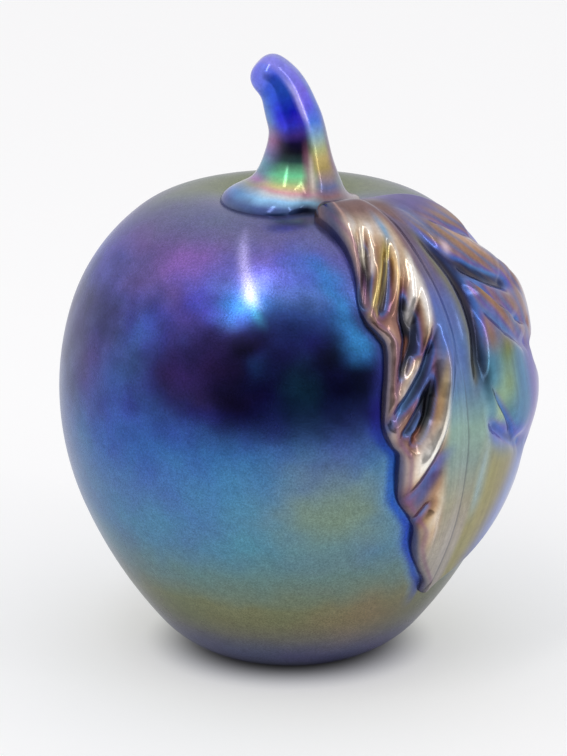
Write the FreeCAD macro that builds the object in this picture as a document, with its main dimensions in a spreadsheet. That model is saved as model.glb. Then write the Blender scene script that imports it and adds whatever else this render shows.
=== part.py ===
"""Art glass apple: a blown body with a sealed air bubble, a pulled stem and a tooled leaf,
each a separate bit of hot glass that seats on the one under it.

Frame: millimetres, +Z up, origin at the centre of the ground base, on the body's axis.
-Y is the front. Azimuth is measured from the front towards +X, where the leaf lies.
"""

import os
from math import atan2, cos, degrees, exp, hypot, pi, radians, sin, sqrt

import FreeCAD, Part
import Sketcher
from FreeCAD import Placement, Rotation, Vector

# Driving dimensions: alias, value. Lengths are millimetres, names that end in _turn or _angle are degrees.
DIMENSIONS = [
    # body outline, a chain of tangent arcs from the ground base to the middle of the dimple
    ("body_radius", 49.2),
    ("equator_height", 56.9),
    ("heel_radius", 25.0),
    ("taper_radius", 99.6),
    ("taper_turn", 17.5),
    ("lower_flank_radius", 61.7),
    ("lower_flank_turn", 22.3),
    ("upper_flank_radius", 60.0),
    ("upper_flank_turn", 17.5),
    ("shoulder_radius", 40.5),
    ("shoulder_turn", 34.5),
    ("crown_radius", 22.0),
    ("dimple_turn", 17.2),
    # sealed bubble and the polished dish left where the rod was cut off
    ("bubble_radius", 40.0),
    ("bubble_centre_height", 51.5),
    ("dish_radius", 11.0),
    ("dish_depth", 1.2),
    # stem
    ("stem_height", 29.2),
    ("stem_foot_radius", 14.7),
    ("stem_offset", 6.8),
    ("stem_lean", 5.1),
    ("stem_root_depth", 2.5),
    ("stem_crease_depth", 3.0),
    ("stem_crease_azimuth_angle", 14.0),
    # leaf, laid along a meridian of the body
    ("leaf_azimuth_angle", 45.0),
    ("leaf_start", 14.0),
    ("leaf_length", 101.5),
    ("leaf_left_sweep_angle", 26.0),
    ("leaf_right_sweep_angle", 52.0),
    ("leaf_thickness", 4.0),
    ("leaf_root_depth", 1.6),
    ("leaf_edge_roll", 2.2),
    ("midrib_width", 2.3),
    ("vein_width", 2.0),
]

# Stem stations from the foot's edge up to the finger's end, as shares of the height: rise, then
# lean towards -X as a share of the lean, then the radius as a share of the foot's.
STEM_SHARES = [
    (0.000, 0.00, 1.000),
    (0.030, 0.00, 0.985),
    (0.065, -0.03, 0.930),
    (0.100, -0.10, 0.840),
    (0.150, -0.20, 0.722),
    (0.212, -0.28, 0.628),
    (0.312, -0.30, 0.536),
    (0.401, -0.31, 0.480),
    (0.487, -0.32, 0.436),
    (0.573, -0.29, 0.406),
    (0.650, -0.21, 0.391),
    (0.720, -0.06, 0.379),
    (0.800, 0.09, 0.362),
    (0.860, 0.22, 0.345),
    (0.915, 0.40, 0.328),
    (0.960, 0.62, 0.314),
]
# The rounded end beyond the last station, as shares of the radius there: along, and radius.
TIP_SHARES = [(0.45, 0.96), (0.82, 0.78), (1.04, 0.42), (1.04, 0.0)]
TIP_TURN_SHARE = 0.2
ROOT_SHARES = [0.0, 0.6, 1.0]

# Leaf outline: station along the leaf as a share of its length, and reach as a share of the sweep.
LEFT_EDGE_SHARES = [
    (0, 0.60), (0.045, 0.92), (0.075, 1.20), (0.100, 1.27), (0.142, 1.15), (0.196, 1.02), (0.265, 0.99),
    (0.323, 1.01), (0.363, 0.97), (0.392, 0.87), (0.412, 0.82), (0.451, 0.83), (0.52, 0.88),
    (0.573, 0.89), (0.608, 0.83), (0.632, 0.755), (0.676, 0.755), (0.73, 0.72), (0.774, 0.58),
    (0.799, 0.51), (0.848, 0.47), (0.887, 0.38), (0.931, 0.22), (0.966, 0.08), (1, 0.03),
]
RIGHT_EDGE_SHARES = [
    (0, 0.20), (0.049, 0.36), (0.078, 0.53), (0.113, 0.68), (0.157, 0.75), (0.206, 0.76),
    (0.245, 0.72), (0.274, 0.66), (0.304, 0.70), (0.353, 0.84), (0.412, 0.95), (0.466, 0.95),
    (0.5, 0.85), (0.529, 0.73), (0.559, 0.76), (0.608, 0.87), (0.657, 0.85), (0.701, 0.74), (0.735, 0.66),
    (0.774, 0.69), (0.823, 0.66), (0.882, 0.50), (0.931, 0.30), (0.966, 0.10), (1, 0.03),
]
# Thickness along the leaf as a share of the full thickness, on the left and the right.
LEFT_RISE_SHARES = [
    (0.0, 0.18), (0.045, 0.28), (0.075, 0.75), (0.105, 0.98), (0.20, 0.92), (0.35, 0.85),
    (0.70, 0.75), (0.90, 0.65), (1.0, 0.5),
]
RIGHT_RISE_SHARES = [
    (0.0, 0.15), (0.05, 0.28), (0.10, 0.46), (0.20, 0.5), (0.29, 0.62), (0.35, 0.8), (0.42, 0.95), (0.52, 0.85),
    (0.62, 0.95), (0.71, 0.62), (0.81, 0.5), (0.9, 0.45), (1.0, 0.45),
]
# Pressed lines: depth as a share of the thickness, width as a share of the vein width, then
# points along the line, each a share of the length and of the sweep (negative on the left).
PRESSED_SHARES = [
    (0.80, 0.80, [(0.130, -0.78), (0.200, -0.77), (0.260, -0.85), (0.310, -0.93), (0.350, -0.98)]),
    (0.62, 0.60, [(0.200, -0.46), (0.250, -0.56), (0.310, -0.71), (0.370, -0.85)]),
    (0.85, 0.90, [
        (0.250, -0.37), (0.310, -0.50), (0.370, -0.56), (0.410, -0.56), (0.455, -0.64), (0.500, -0.74),
    ]),
    (0.70, 0.70, [(0.330, -0.42), (0.380, -0.47), (0.420, -0.48), (0.450, -0.52)]),
    (0.72, 0.60, [(0.385, -0.27), (0.430, -0.35), (0.475, -0.47), (0.520, -0.65), (0.560, -0.84)]),
    (0.85, 0.90, [(0.460, -0.26), (0.510, -0.35), (0.560, -0.42), (0.585, -0.50), (0.610, -0.62)]),
    (0.50, 0.50, [(0.490, -0.42), (0.530, -0.50), (0.570, -0.64), (0.600, -0.76)]),
    (0.72, 0.70, [(0.600, -0.26), (0.640, -0.34), (0.690, -0.48), (0.735, -0.70)]),
    (0.60, 0.50, [(0.655, -0.33), (0.680, -0.38), (0.710, -0.48)]),
    (0.75, 0.60, [(0.725, -0.32), (0.745, -0.42), (0.775, -0.56)]),
    (0.35, 0.80, [(0.800, -0.42), (0.870, -0.38), (0.940, -0.20)]),
    (0.78, 1.20, [
        (0.12, 0.05), (0.18, 0.10), (0.24, 0.135), (0.30, 0.165), (0.36, 0.16), (0.42, 0.14), (0.49, 0.105),
        (0.57, 0.06),
    ]),
    (0.45, 0.70, [(0.140, 0.24), (0.180, 0.34), (0.215, 0.46), (0.240, 0.60), (0.270, 0.70)]),
    (0.85, 0.90, [
        (0.245, 0.16), (0.280, 0.24), (0.310, 0.34), (0.340, 0.46), (0.365, 0.60), (0.385, 0.76),
    ]),
    (0.60, 0.50, [(0.300, 0.22), (0.345, 0.31), (0.390, 0.40), (0.430, 0.53), (0.465, 0.72)]),
    (0.62, 0.90, [(0.340, 0.20), (0.390, 0.26), (0.440, 0.38), (0.485, 0.55), (0.515, 0.78)]),
    (0.55, 0.50, [(0.520, 0.155), (0.570, 0.23), (0.620, 0.32), (0.660, 0.40)]),
    (0.60, 0.90, [(0.575, 0.08), (0.610, 0.16), (0.645, 0.28), (0.680, 0.44), (0.700, 0.62)]),
]
# Raised folds: height as a share of the thickness, the rest as above.
RIDGE_SHARES = [
    (0.20, 0.50, [(0.120, -0.90), (0.180, -0.87), (0.250, -0.93), (0.310, -1.00)]),
    (0.20, 0.40, [(0.160, -0.64), (0.220, -0.70), (0.270, -0.79)]),
    (0.22, 0.60, [(0.170, -0.42), (0.250, -0.62), (0.310, -0.80), (0.360, -0.92)]),
    (0.25, 0.35, [(0.200, -0.40), (0.250, -0.46), (0.310, -0.58), (0.365, -0.68)]),
    (0.25, 0.40, [(0.230, -0.27), (0.290, -0.36), (0.340, -0.44), (0.380, -0.50)]),
    (0.30, 0.65, [
        (0.270, -0.24), (0.340, -0.32), (0.400, -0.38), (0.440, -0.48), (0.490, -0.66), (0.540, -0.80),
    ]),
    (0.35, 0.65, [
        (0.410, -0.17), (0.480, -0.22), (0.560, -0.32), (0.620, -0.42), (0.670, -0.56), (0.720, -0.70),
    ]),
    (0.22, 0.60, [(0.700, -0.28), (0.780, -0.36), (0.860, -0.33), (0.940, -0.15)]),
    (0.30, 0.45, [(0.120, 0.13), (0.190, 0.18), (0.250, 0.22)]),
    (0.35, 0.60, [(0.160, 0.27), (0.220, 0.38), (0.280, 0.52), (0.330, 0.70)]),
    (0.30, 0.70, [(0.320, 0.22), (0.360, 0.31), (0.410, 0.44), (0.450, 0.60)]),
]
MIDRIB_DEPTH_SHARE = 0.42
LEAF_STATIONS = 91
LEAF_ACROSS = 69
STEM_AROUND = 40


def new_sheet(doc):
    """The spreadsheet that holds every driving dimension under its alias."""
    sheet = doc.addObject("Spreadsheet::Sheet", "Dimensions")
    for row, (alias, value) in enumerate(DIMENSIONS, start=1):
        sheet.set(f"A{row}", alias)
        sheet.set(f"B{row}", str(value))
        sheet.setAlias(f"B{row}", alias)
    doc.recompute()
    return sheet


class Outline:
    """The body's outer profile: r and z along its arc length, from the axis outwards and down."""

    def __init__(self, d):
        up = radians(d.upper_flank_turn)
        shoulder = up + radians(d.shoulder_turn)
        dimple = pi / 2 + radians(d.dimple_turn)
        low = radians(d.lower_flank_turn)
        taper = low + radians(d.taper_turn)
        self.equator = (d.body_radius, d.equator_height)
        self.arcs = []
        # upwards: centre, radius, and the normal's angle at the start and end of each arc
        centre = (d.body_radius - d.upper_flank_radius, d.equator_height)
        self.upper = [(centre, d.upper_flank_radius, 0.0, up)]
        centre = self.shift(centre, d.upper_flank_radius - d.shoulder_radius, up)
        self.upper.append((centre, d.shoulder_radius, up, shoulder))
        centre = self.shift(centre, d.shoulder_radius - d.crown_radius, shoulder)
        self.upper.append((centre, d.crown_radius, shoulder, dimple))
        rim = self.shift(centre, d.crown_radius, dimple)
        dimple_radius = rim[0] / sin(radians(d.dimple_turn))
        self.dimple = ((0.0, rim[1] + dimple_radius * sin(dimple)), dimple_radius, rim)
        # downwards
        centre = (d.body_radius - d.lower_flank_radius, d.equator_height)
        self.lower = [(centre, d.lower_flank_radius, 0.0, -low)]
        centre = self.shift(centre, d.lower_flank_radius - d.taper_radius, -low)
        self.lower.append((centre, d.taper_radius, -low, -taper))
        centre = self.shift(centre, d.taper_radius - d.heel_radius, -taper)
        ground = -sqrt(max(0.0, 1.0 - (centre[1] / d.heel_radius) ** 2))
        heel_end = atan2(-centre[1], -ground * d.heel_radius)
        self.lower.append((centre, d.heel_radius, -taper, heel_end))
        self.floor = self.dimple[0][1] - dimple_radius

    @staticmethod
    def shift(point, distance, angle):
        return (point[0] + distance * cos(angle), point[1] + distance * sin(angle))

    def at(self, length):
        """(r, z, normal angle) at an arc length from the axis, over dimple, crown and flanks."""
        centre, radius, rim = self.dimple
        turn = atan2(rim[0], centre[1] - rim[1])
        if length < radius * turn:
            angle = length / radius
            return radius * sin(angle), centre[1] - radius * cos(angle), pi / 2 + angle
        length -= radius * turn
        for centre, radius, start, end in [(c, r, b, a) for c, r, a, b in reversed(self.upper)] + self.lower:
            span = radius * (start - end)
            if length <= span:
                break
            length -= span
        angle = start - length / radius
        point = self.shift(centre, radius, angle)
        return point[0], point[1], angle


def arc_edge(sketch, centre, radius, start, end):
    """Adds an arc to a sketch between two normal angles and returns its number."""
    low, high = min(start, end), max(start, end)
    circle = Part.Circle(Vector(centre[0], centre[1], 0), Vector(0, 0, 1), radius)
    return sketch.addGeometry(Part.ArcOfCircle(circle, low, high), False)


def profile_sketch(body, outline, d):
    """Half outline of the apple on the XZ plane, constrained by the sheet."""
    sketch = body.newObject("Sketcher::SketchObject", "OuterProfile")
    plane = next(f for f in body.Origin.OriginFeatures if f.Role == "XZ_Plane")
    sketch.AttachmentSupport = [(plane, "")]
    sketch.MapMode = "FlatFace"
    names = ["upper_flank", "shoulder", "crown"]
    upper = [arc_edge(sketch, *arc) for arc in outline.upper]
    lower = [arc_edge(sketch, *arc) for arc in outline.lower]
    centre, radius, rim = outline.dimple
    dimple = arc_edge(sketch, centre, radius, -pi / 2, atan2(rim[1] - centre[1], rim[0]))
    foot = outline.lower[-1]
    base_x = outline.shift(foot[0], foot[1], foot[3])[0]
    base = sketch.addGeometry(Part.LineSegment(Vector(0, 0, 0), Vector(base_x, 0, 0)), False)
    axis = sketch.addGeometry(Part.LineSegment(Vector(0, outline.floor, 0), Vector(0, 0, 0)), False)

    def add(*words):
        return sketch.addConstraint(Sketcher.Constraint(*words))

    def bind(number, name, unit):
        sketch.setExpression(f"Constraints[{number}]", f"{d.Name}.{name} * 1 {unit}")

    # an arc's point 1 is at its lower angle and point 2 at its higher one
    add("Coincident", upper[0], 1, lower[0], 2)
    add("Tangent", upper[0], 2, upper[1], 1)
    add("Tangent", upper[1], 2, upper[2], 1)
    add("Tangent", upper[2], 2, dimple, 2)
    add("Tangent", lower[0], 1, lower[1], 2)
    add("Tangent", lower[1], 1, lower[2], 2)
    add("Coincident", lower[2], 1, base, 2)
    add("Coincident", base, 1, -1, 1)
    add("Coincident", base, 1, axis, 2)
    add("Coincident", dimple, 1, axis, 1)
    add("Horizontal", base)
    add("Vertical", axis)
    add("PointOnObject", dimple, 3, -2)
    bind(add("DistanceX", -1, 1, upper[0], 1, d.body_radius), "body_radius", "mm")
    for geometry, point in ((upper[0], 1), (upper[0], 3), (lower[0], 3)):
        bind(add("DistanceY", -1, 1, geometry, point, d.equator_height), "equator_height", "mm")
    sizes = list(zip(upper, names)) + list(zip(lower, ["lower_flank", "taper", "heel"]))
    for geometry, name in sizes:
        value = getattr(d, name + "_radius")
        bind(add("Radius", geometry, value), name + "_radius", "mm")
    turned = [(upper[0], "upper_flank"), (upper[1], "shoulder"), (lower[0], "lower_flank"), (lower[1], "taper")]
    for geometry, name in turned:
        value = radians(getattr(d, name + "_turn"))
        bind(add("Angle", geometry, value), name + "_turn", "deg")
    crown_turn = radians(90 - d.upper_flank_turn - d.shoulder_turn + d.dimple_turn)
    crown = add("Angle", upper[2], crown_turn)
    sketch.setExpression(
        f"Constraints[{crown}]",
        f"(90 - {d.Name}.upper_flank_turn - {d.Name}.shoulder_turn + {d.Name}.dimple_turn) * 1 deg",
    )
    return sketch


def make_body(doc, d, outline):
    """Blown body: revolved outline, sealed bubble inside, polished dish under the base."""
    body = doc.addObject("PartDesign::Body", "AppleBody")
    body.Label = "apple_body"
    sketch = profile_sketch(body, outline, d)
    doc.recompute()
    revolution = body.newObject("PartDesign::Revolution", "Apple")
    revolution.Profile = sketch
    revolution.ReferenceAxis = (sketch, ["V_Axis"])
    revolution.Angle = 360
    doc.recompute()
    bubble = body.newObject("PartDesign::SubtractiveSphere", "Bubble")
    bubble.setExpression("Radius", f"{d.Name}.bubble_radius * 1 mm")
    bubble.setExpression("Placement.Base.z", f"{d.Name}.bubble_centre_height * 1 mm")
    dish = body.newObject("PartDesign::SubtractiveSphere", "PontilDish")
    sphere = f"({d.Name}.dish_radius ^ 2 + {d.Name}.dish_depth ^ 2) / (2 * {d.Name}.dish_depth)"
    dish.setExpression("Radius", f"{sphere} * 1 mm")
    dish.setExpression("Placement.Base.z", f"({d.Name}.dish_depth - {sphere}) * 1 mm")
    doc.recompute()
    return body


def smooth_surface(poles, around):
    """A cubic surface over a grid of poles, closed round its second direction if around is true."""
    degree = 3

    def clamped(count):
        inner = count - degree - 1
        return list(range(inner + 2)), [degree + 1] + [1] * inner + [degree + 1]

    knots_u, mults_u = clamped(len(poles))
    if around:
        count = len(poles[0])
        knots_v, mults_v = list(range(count + 1)), [1] * (count + 1)
    else:
        knots_v, mults_v = clamped(len(poles[0]))
    surface = Part.BSplineSurface()
    surface.buildFromPolesMultsKnots(
        poles, mults_u, mults_v, knots_u, knots_v, False, around, degree, degree
    )
    return surface


def solid_of(faces):
    """One outward solid sewn from faces that share their edges."""
    shell = Part.makeShell(faces) if len(faces) == 1 else Part.Shell(Part.makeCompound(faces).Faces)
    shell.sewShape()
    solid = Part.makeSolid(Part.Shell(shell.Faces))
    if solid.Volume < 0:
        solid.reverse()
    return solid


def stem_rings(d):
    """(centre, tilt, radius, hug) of each ring of the stem; hug is how far it follows the crown."""
    root = -d.stem_root_depth / d.stem_height
    rows = [(root, STEM_SHARES[0][1], share) for share in ROOT_SHARES] + STEM_SHARES
    centres = [Vector(-lean * d.stem_lean, -d.stem_offset, rise * d.stem_height) for rise, lean, _ in rows]
    rings = []
    for i, (rise, _, share) in enumerate(rows):
        way = centres[min(i + 1, len(rows) - 1)] - centres[max(i - 1, 0)]
        tilt = atan2(way.x, way.z) * min(1.0, max(0.0, 3 * rise))
        rings.append((centres[i], tilt, share * d.stem_foot_radius, max(0.0, 1.0 - max(0.0, rise) / 0.6)))
    last, tilt, radius, _ = rings[-1]
    tilt *= 1 + TIP_TURN_SHARE
    way = Vector(sin(tilt), 0, cos(tilt))
    for along, share in TIP_SHARES:
        rings.append((last + way * (along * radius), tilt, share * radius, 0.0))
    return rings


def stem_ring(d, outline, ring, around):
    """Points round one ring: it follows the crown's height at the foot and is round at the tip."""
    centre, tilt, radius, hug = ring
    rooted = centre.z < 0
    side, front = Vector(cos(tilt), 0, -sin(tilt)), Vector(0, -1, 0)
    points = []
    for k in range(around):
        azimuth = 2 * pi * k / around
        off = (azimuth - radians(d.stem_crease_azimuth_angle) + pi) % (2 * pi) - pi
        pinch = d.stem_crease_depth * exp(-((off / 0.26) ** 2)) * (0.75 * hug ** 4 + 0.25 * sqrt(hug))
        pinch = 0.0 if rooted else pinch
        point = centre + (side * sin(azimuth) + front * cos(azimuth)) * (radius - pinch)
        crown = outline.at(hypot(point.x, point.y))[1]
        middle = outline.at(d.stem_offset)[1]
        points.append(point + Vector(0, 0, middle if rooted else middle + hug * (crown - middle)))
    return points


def make_stem(doc, d, outline, body):
    """Stem bit: flared foot with one crease, narrow neck, finger bent over to the left."""
    poles = [stem_ring(d, outline, ring, STEM_AROUND) for ring in stem_rings(d)]
    skin = smooth_surface(poles, True).toShape()
    stem = doc.addObject("Part::Feature", "StemBlank")
    stem.Shape = solid_of([skin])
    seat = doc.addObject("Part::Cut", "Stem")
    seat.Base = stem
    seat.Tool = body
    seat.Label = "stem"
    return seat


def between(table, share):
    """Smooth curve through a table of (station, value), read at one station."""
    last = len(table) - 1
    i = max(k for k in range(last) if k == 0 or table[k][0] <= share)
    (xa, ya), (xb, yb) = table[i], table[i + 1]

    def slope(k):
        if k == 0 or k == last:
            return (yb - ya) / (xb - xa)
        return (table[k + 1][1] - table[k - 1][1]) / (table[k + 1][0] - table[k - 1][0])

    h = xb - xa
    t = (share - xa) / h
    rising = ya * (1 + 2 * t) * (1 - t) ** 2 + slope(i) * h * t * (1 - t) ** 2
    return rising + yb * t * t * (3 - 2 * t) + slope(i + 1) * h * t * t * (t - 1)


def distance_to_line(x, y, line):
    """(distance from a point to a polyline, share of the way along it)."""
    best = None
    steps = len(line) - 1
    for i in range(steps):
        (ax, ay), (bx, by) = line[i], line[i + 1]
        t = ((x - ax) * (bx - ax) + (y - ay) * (by - ay)) / ((bx - ax) ** 2 + (by - ay) ** 2)
        t = min(1.0, max(0.0, t))
        off = hypot(x - ax - t * (bx - ax), y - ay - t * (by - ay))
        if best is None or off < best[0]:
            best = (off, (i + t) / steps)
    return best


class Leaf:
    """The leaf's height over the body, from its outline, midrib and pressed lines."""

    def __init__(self, d, outline):
        self.d = d
        self.outline = outline
        self.lines, self.folds = [
            [(depth, width * d.vein_width, [self.flat(*point) for point in points]) for depth, width, points in table]
            for table in (PRESSED_SHARES, RIDGE_SHARES)
        ]

    def sweep(self, side):
        angle = self.d.leaf_right_sweep_angle if side > 0 else self.d.leaf_left_sweep_angle
        return radians(angle)

    def flat(self, station, side):
        """A point of the leaf laid flat: length along it, and breadth at that station."""
        radius = self.outline.at(self.d.leaf_start + station * self.d.leaf_length)[0]
        return station * self.d.leaf_length, radius * side * self.sweep(side)

    def height(self, station, side, across):
        """Height of the skin over the body. side is a share of the sweep, across 1 at the outline."""
        d = self.d
        x, y = self.flat(station, side)
        margin = abs(y) * (1 / max(across, 0.02) - 1) if across else d.leaf_edge_roll
        margin = min(margin, 1.3 * x, 1.3 * (d.leaf_length - x))
        roll = 1 - min(1.0, margin / d.leaf_edge_roll)
        blend = 0.5 + 0.5 * sin(pi / 2 * max(-1.0, min(1.0, y / (2 * d.midrib_width))))
        rise = (1 - blend) * between(LEFT_RISE_SHARES, station) + blend * between(RIGHT_RISE_SHARES, station)
        keep = 1 - MIDRIB_DEPTH_SHARE * min(1.0, 1.6 * (1.05 - station)) * exp(-((y / d.midrib_width) ** 2))
        for depth, width, line in self.lines:
            off, way = distance_to_line(x, y, line)
            if off < 4 * width:
                fade = min(1.0, 3.0 * way + 0.1, 4.0 * (1 - way) + 0.35)
                narrow = exp(-((off / width) ** 2))
                wide = exp(-((off / (2.6 * width)) ** 2))
                keep *= 1 - depth * fade * (0.7 * narrow + 0.3 * wide)
        for raised, width, line in self.folds:
            off, way = distance_to_line(x, y, line)
            if off < 4 * width:
                keep += raised * min(1.0, 4 * way, 3 * (1 - way)) * exp(-((off / width) ** 2))
        return d.leaf_thickness * sqrt(1 - roll * roll) * rise * max(0.18, keep)

    def point(self, station, turn, lift):
        """A point over the body at a station, an angle from the midrib and a height."""
        r, z, angle = self.outline.at(self.d.leaf_start + station * self.d.leaf_length)
        azimuth = radians(self.d.leaf_azimuth_angle) + turn
        reach = r + lift * cos(angle)
        return Vector(reach * sin(azimuth), -reach * cos(azimuth), z + lift * sin(angle))

    def grid(self, inner):
        """Poles of the leaf's skin, or of the closing face inside the body."""
        d, rows = self.d, []
        for i in range(LEAF_STATIONS):
            station = i / (LEAF_STATIONS - 1)
            row = []
            for k in range(LEAF_ACROSS):
                place = 2 * k / (LEAF_ACROSS - 1) - 1
                across = 0.5 * abs(place) + 0.5 * sin(pi / 2 * abs(place))
                side = 1 if place > 0 else -1
                reach = between(RIGHT_EDGE_SHARES if side > 0 else LEFT_EDGE_SHARES, station)
                border = i in (0, LEAF_STATIONS - 1) or k in (0, LEAF_ACROSS - 1)
                lift = -d.leaf_root_depth
                if inner and not border:
                    lift *= 2
                elif not border:
                    lift = self.height(station, side * reach * across, across)
                row.append(self.point(station, side * reach * across * self.sweep(side), lift))
            rows.append(row)
        return rows


def make_leaf(doc, d, outline, body, stem):
    """Leaf bit: tooled skin, seated on the body's own surface and against the stem's foot."""
    leaf = Leaf(d, outline)
    skin = smooth_surface(leaf.grid(False), False).toShape()
    inside = smooth_surface(leaf.grid(True), False).toShape()
    blank = doc.addObject("Part::Feature", "LeafBlank")
    blank.Shape = solid_of([skin, inside])
    on_body = doc.addObject("Part::Cut", "LeafOnBody")
    on_body.Base = blank
    on_body.Tool = body
    seat = doc.addObject("Part::Cut", "Leaf")
    seat.Base = on_body
    seat.Tool = stem
    seat.Label = "leaf"
    return seat


def check(doc, parts):
    """Stops on any failed feature or bad shape."""
    for obj in doc.Objects:
        if "Invalid" in obj.State or "Error" in obj.State:
            raise RuntimeError(f"{obj.Label} failed: {obj.State}")
    for part in parts:
        if part.Shape.isNull() or not part.Shape.isValid():
            raise RuntimeError(f"{part.Label} has no valid shape")


def main():
    doc = FreeCAD.newDocument("ArtGlassApple")
    d = new_sheet(doc)
    outline = Outline(d)
    body = make_body(doc, d, outline)
    doc.recompute()
    stem = make_stem(doc, d, outline, body)
    doc.recompute()
    leaf = make_leaf(doc, d, outline, body, stem)
    doc.recompute()
    parts = [body, stem, leaf]
    check(doc, parts)
    os.makedirs("parts", exist_ok=True)
    for part in parts:
        solids = part.Shape.Solids
        print(part.Label, len(solids), "solid", round(part.Shape.Volume / 1000, 2), "cm3", part.Shape.BoundBox)
        part.Shape.exportStep(f"parts/{part.Label}.step")


main()
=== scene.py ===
from math import atan2, cos, pi, radians, sin, sqrt

import bmesh
import bpy
import numpy as np
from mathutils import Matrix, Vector


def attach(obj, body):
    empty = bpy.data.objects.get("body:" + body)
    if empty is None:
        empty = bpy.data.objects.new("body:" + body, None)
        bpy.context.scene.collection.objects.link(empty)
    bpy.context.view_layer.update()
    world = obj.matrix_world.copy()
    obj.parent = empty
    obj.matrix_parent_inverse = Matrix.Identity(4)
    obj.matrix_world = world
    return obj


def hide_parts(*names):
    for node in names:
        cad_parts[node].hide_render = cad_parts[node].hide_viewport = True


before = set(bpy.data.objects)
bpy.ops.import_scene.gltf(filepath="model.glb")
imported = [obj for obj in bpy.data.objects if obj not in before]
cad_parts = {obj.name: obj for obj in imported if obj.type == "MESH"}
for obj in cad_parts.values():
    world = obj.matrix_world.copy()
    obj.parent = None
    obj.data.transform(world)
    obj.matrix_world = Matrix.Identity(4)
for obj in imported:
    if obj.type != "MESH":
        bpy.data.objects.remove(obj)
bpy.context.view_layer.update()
MM = 0.001


def lin(red, green, blue):
    """Linear colour of an sRGB one given in 0 to 255."""
    c = np.array([red, green, blue]) / 255
    return np.where(c <= 0.04045, c / 12.92, ((c + 0.055) / 1.055) ** 2.4)


def smooth(low, high, x):
    t = np.clip((x - low) / (high - low), 0, 1)
    return t * t * (3 - 2 * t)


def bell(x, width):
    return np.exp(-((x / width) ** 2))


def ramp(stops, x):
    """Colours along stops of (place, colour), smoothly joined."""
    places = [s[0] for s in stops]
    return np.stack([np.interp(x, places, [s[1][c] for s in stops]) for c in range(3)], -1)


def blend(under, over, share):
    return under + (np.asarray(over) - under) * share[..., None]


def cloud(points, size, seed):
    """Smooth random field from -0.5 to 0.5 over points in mm."""
    table = np.random.default_rng(seed).random((16, 16, 16))
    p = points / size + 400
    i = np.floor(p).astype(int)
    f = p - i
    f = f * f * (3 - 2 * f)
    total = 0
    for corner in range(8):
        step = np.array([corner & 1, corner >> 1 & 1, corner >> 2])
        share = np.where(step, f, 1 - f).prod(-1)
        n = (i + step) % 16
        total = total + share * table[n[..., 0], n[..., 1], n[..., 2]]
    return total - 0.5


# The body's outline is the part's chain of arcs. Radii and the waist's height are in mm. Each turn is the
# normal's angle in degrees at the far end of its arc, from the level, and for the dimple from the axis.
BODY_RADIUS, WAIST_HEIGHT = 49.2, 56.9
FLANK_RADIUS, SHOULDER_RADIUS, CROWN_RADIUS = 60, 40.5, 22
LOWER_RADIUS, TAPER_RADIUS, HEEL_RADIUS = 61.7, 99.6, 25
FLANK_TURN, SHOULDER_TURN, DIMPLE_TURN = 17.5, 52, 17.2
LOWER_TURN, TAPER_TURN = 22.3, 39.8
DIMPLE_STEPS, ARC_STEPS = 40, 120


def shift(point, distance, angle):
    return point[0] + distance * cos(angle), point[1] + distance * sin(angle)


def outline_table():
    """Arc lengths from the axis, and rows of (r, z, normal angle), from the dimple to the ground base."""
    up, shoulder = radians(FLANK_TURN), radians(SHOULDER_TURN)
    low, taper = radians(LOWER_TURN), radians(TAPER_TURN)
    bowl_turn = radians(DIMPLE_TURN)
    dimple = pi / 2 + bowl_turn
    flank = (BODY_RADIUS - FLANK_RADIUS, WAIST_HEIGHT)
    upper = shift(flank, FLANK_RADIUS - SHOULDER_RADIUS, up)
    crown = shift(upper, SHOULDER_RADIUS - CROWN_RADIUS, shoulder)
    rim = shift(crown, CROWN_RADIUS, dimple)
    bowl = rim[0] / sin(bowl_turn)
    bowl_height = rim[1] + bowl * cos(bowl_turn)
    waist = (BODY_RADIUS - LOWER_RADIUS, WAIST_HEIGHT)
    side = shift(waist, LOWER_RADIUS - TAPER_RADIUS, -low)
    foot = shift(side, TAPER_RADIUS - HEEL_RADIUS, -taper)
    heel = atan2(-foot[1], sqrt(HEEL_RADIUS ** 2 - foot[1] ** 2))
    rows = []
    for t in np.linspace(0, bowl_turn, DIMPLE_STEPS, endpoint=False):
        rows.append((bowl * sin(t), bowl_height - bowl * cos(t), pi / 2 + t))
    arcs = [
        (crown, CROWN_RADIUS, dimple, shoulder),
        (upper, SHOULDER_RADIUS, shoulder, up),
        (flank, FLANK_RADIUS, up, 0),
        (waist, LOWER_RADIUS, 0, -low),
        (side, TAPER_RADIUS, -low, -taper),
        (foot, HEEL_RADIUS, -taper, heel),
    ]
    for centre, radius, start, end in arcs:
        for t in np.linspace(start, end, ARC_STEPS, endpoint=False):
            rows.append((*shift(centre, radius, t), t))
    rows.append((*shift(foot, HEEL_RADIUS, heel), heel))
    table = np.array(rows)
    length = np.concatenate([[0], np.cumsum(np.hypot(np.diff(table[:, 0]), np.diff(table[:, 1])))])
    return length, table


LENGTH, TABLE = outline_table()
CROWN_ROWS = 250


def outline(length):
    """(r, z, normal angle) of the body at an arc length from the axis."""
    return [np.interp(length, LENGTH, TABLE[:, k]) for k in range(3)]


def crown_height(r):
    """Height of the body's top at a distance from the axis, from the dimple to the shoulder."""
    top = TABLE[:CROWN_ROWS]
    return np.interp(r, top[:, 0], top[:, 1])


def painted_object(name, verts, faces, paint):
    """A smooth mesh object of verts in mm, with one lustre colour for each vertex."""
    mesh = bpy.data.meshes.new(name)
    mesh.from_pydata([tuple(v) for v in verts * MM], [], faces)
    mesh.polygons.foreach_set("use_smooth", [True] * len(faces))
    layer = mesh.color_attributes.new("lustre", "FLOAT_COLOR", "POINT")
    data = np.ones((len(verts), 4), np.float32)
    data[:, :3] = paint
    layer.data.foreach_set("color", data.ravel())
    obj = bpy.data.objects.new(name, mesh)
    bpy.context.scene.collection.objects.link(obj)
    return obj


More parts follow.
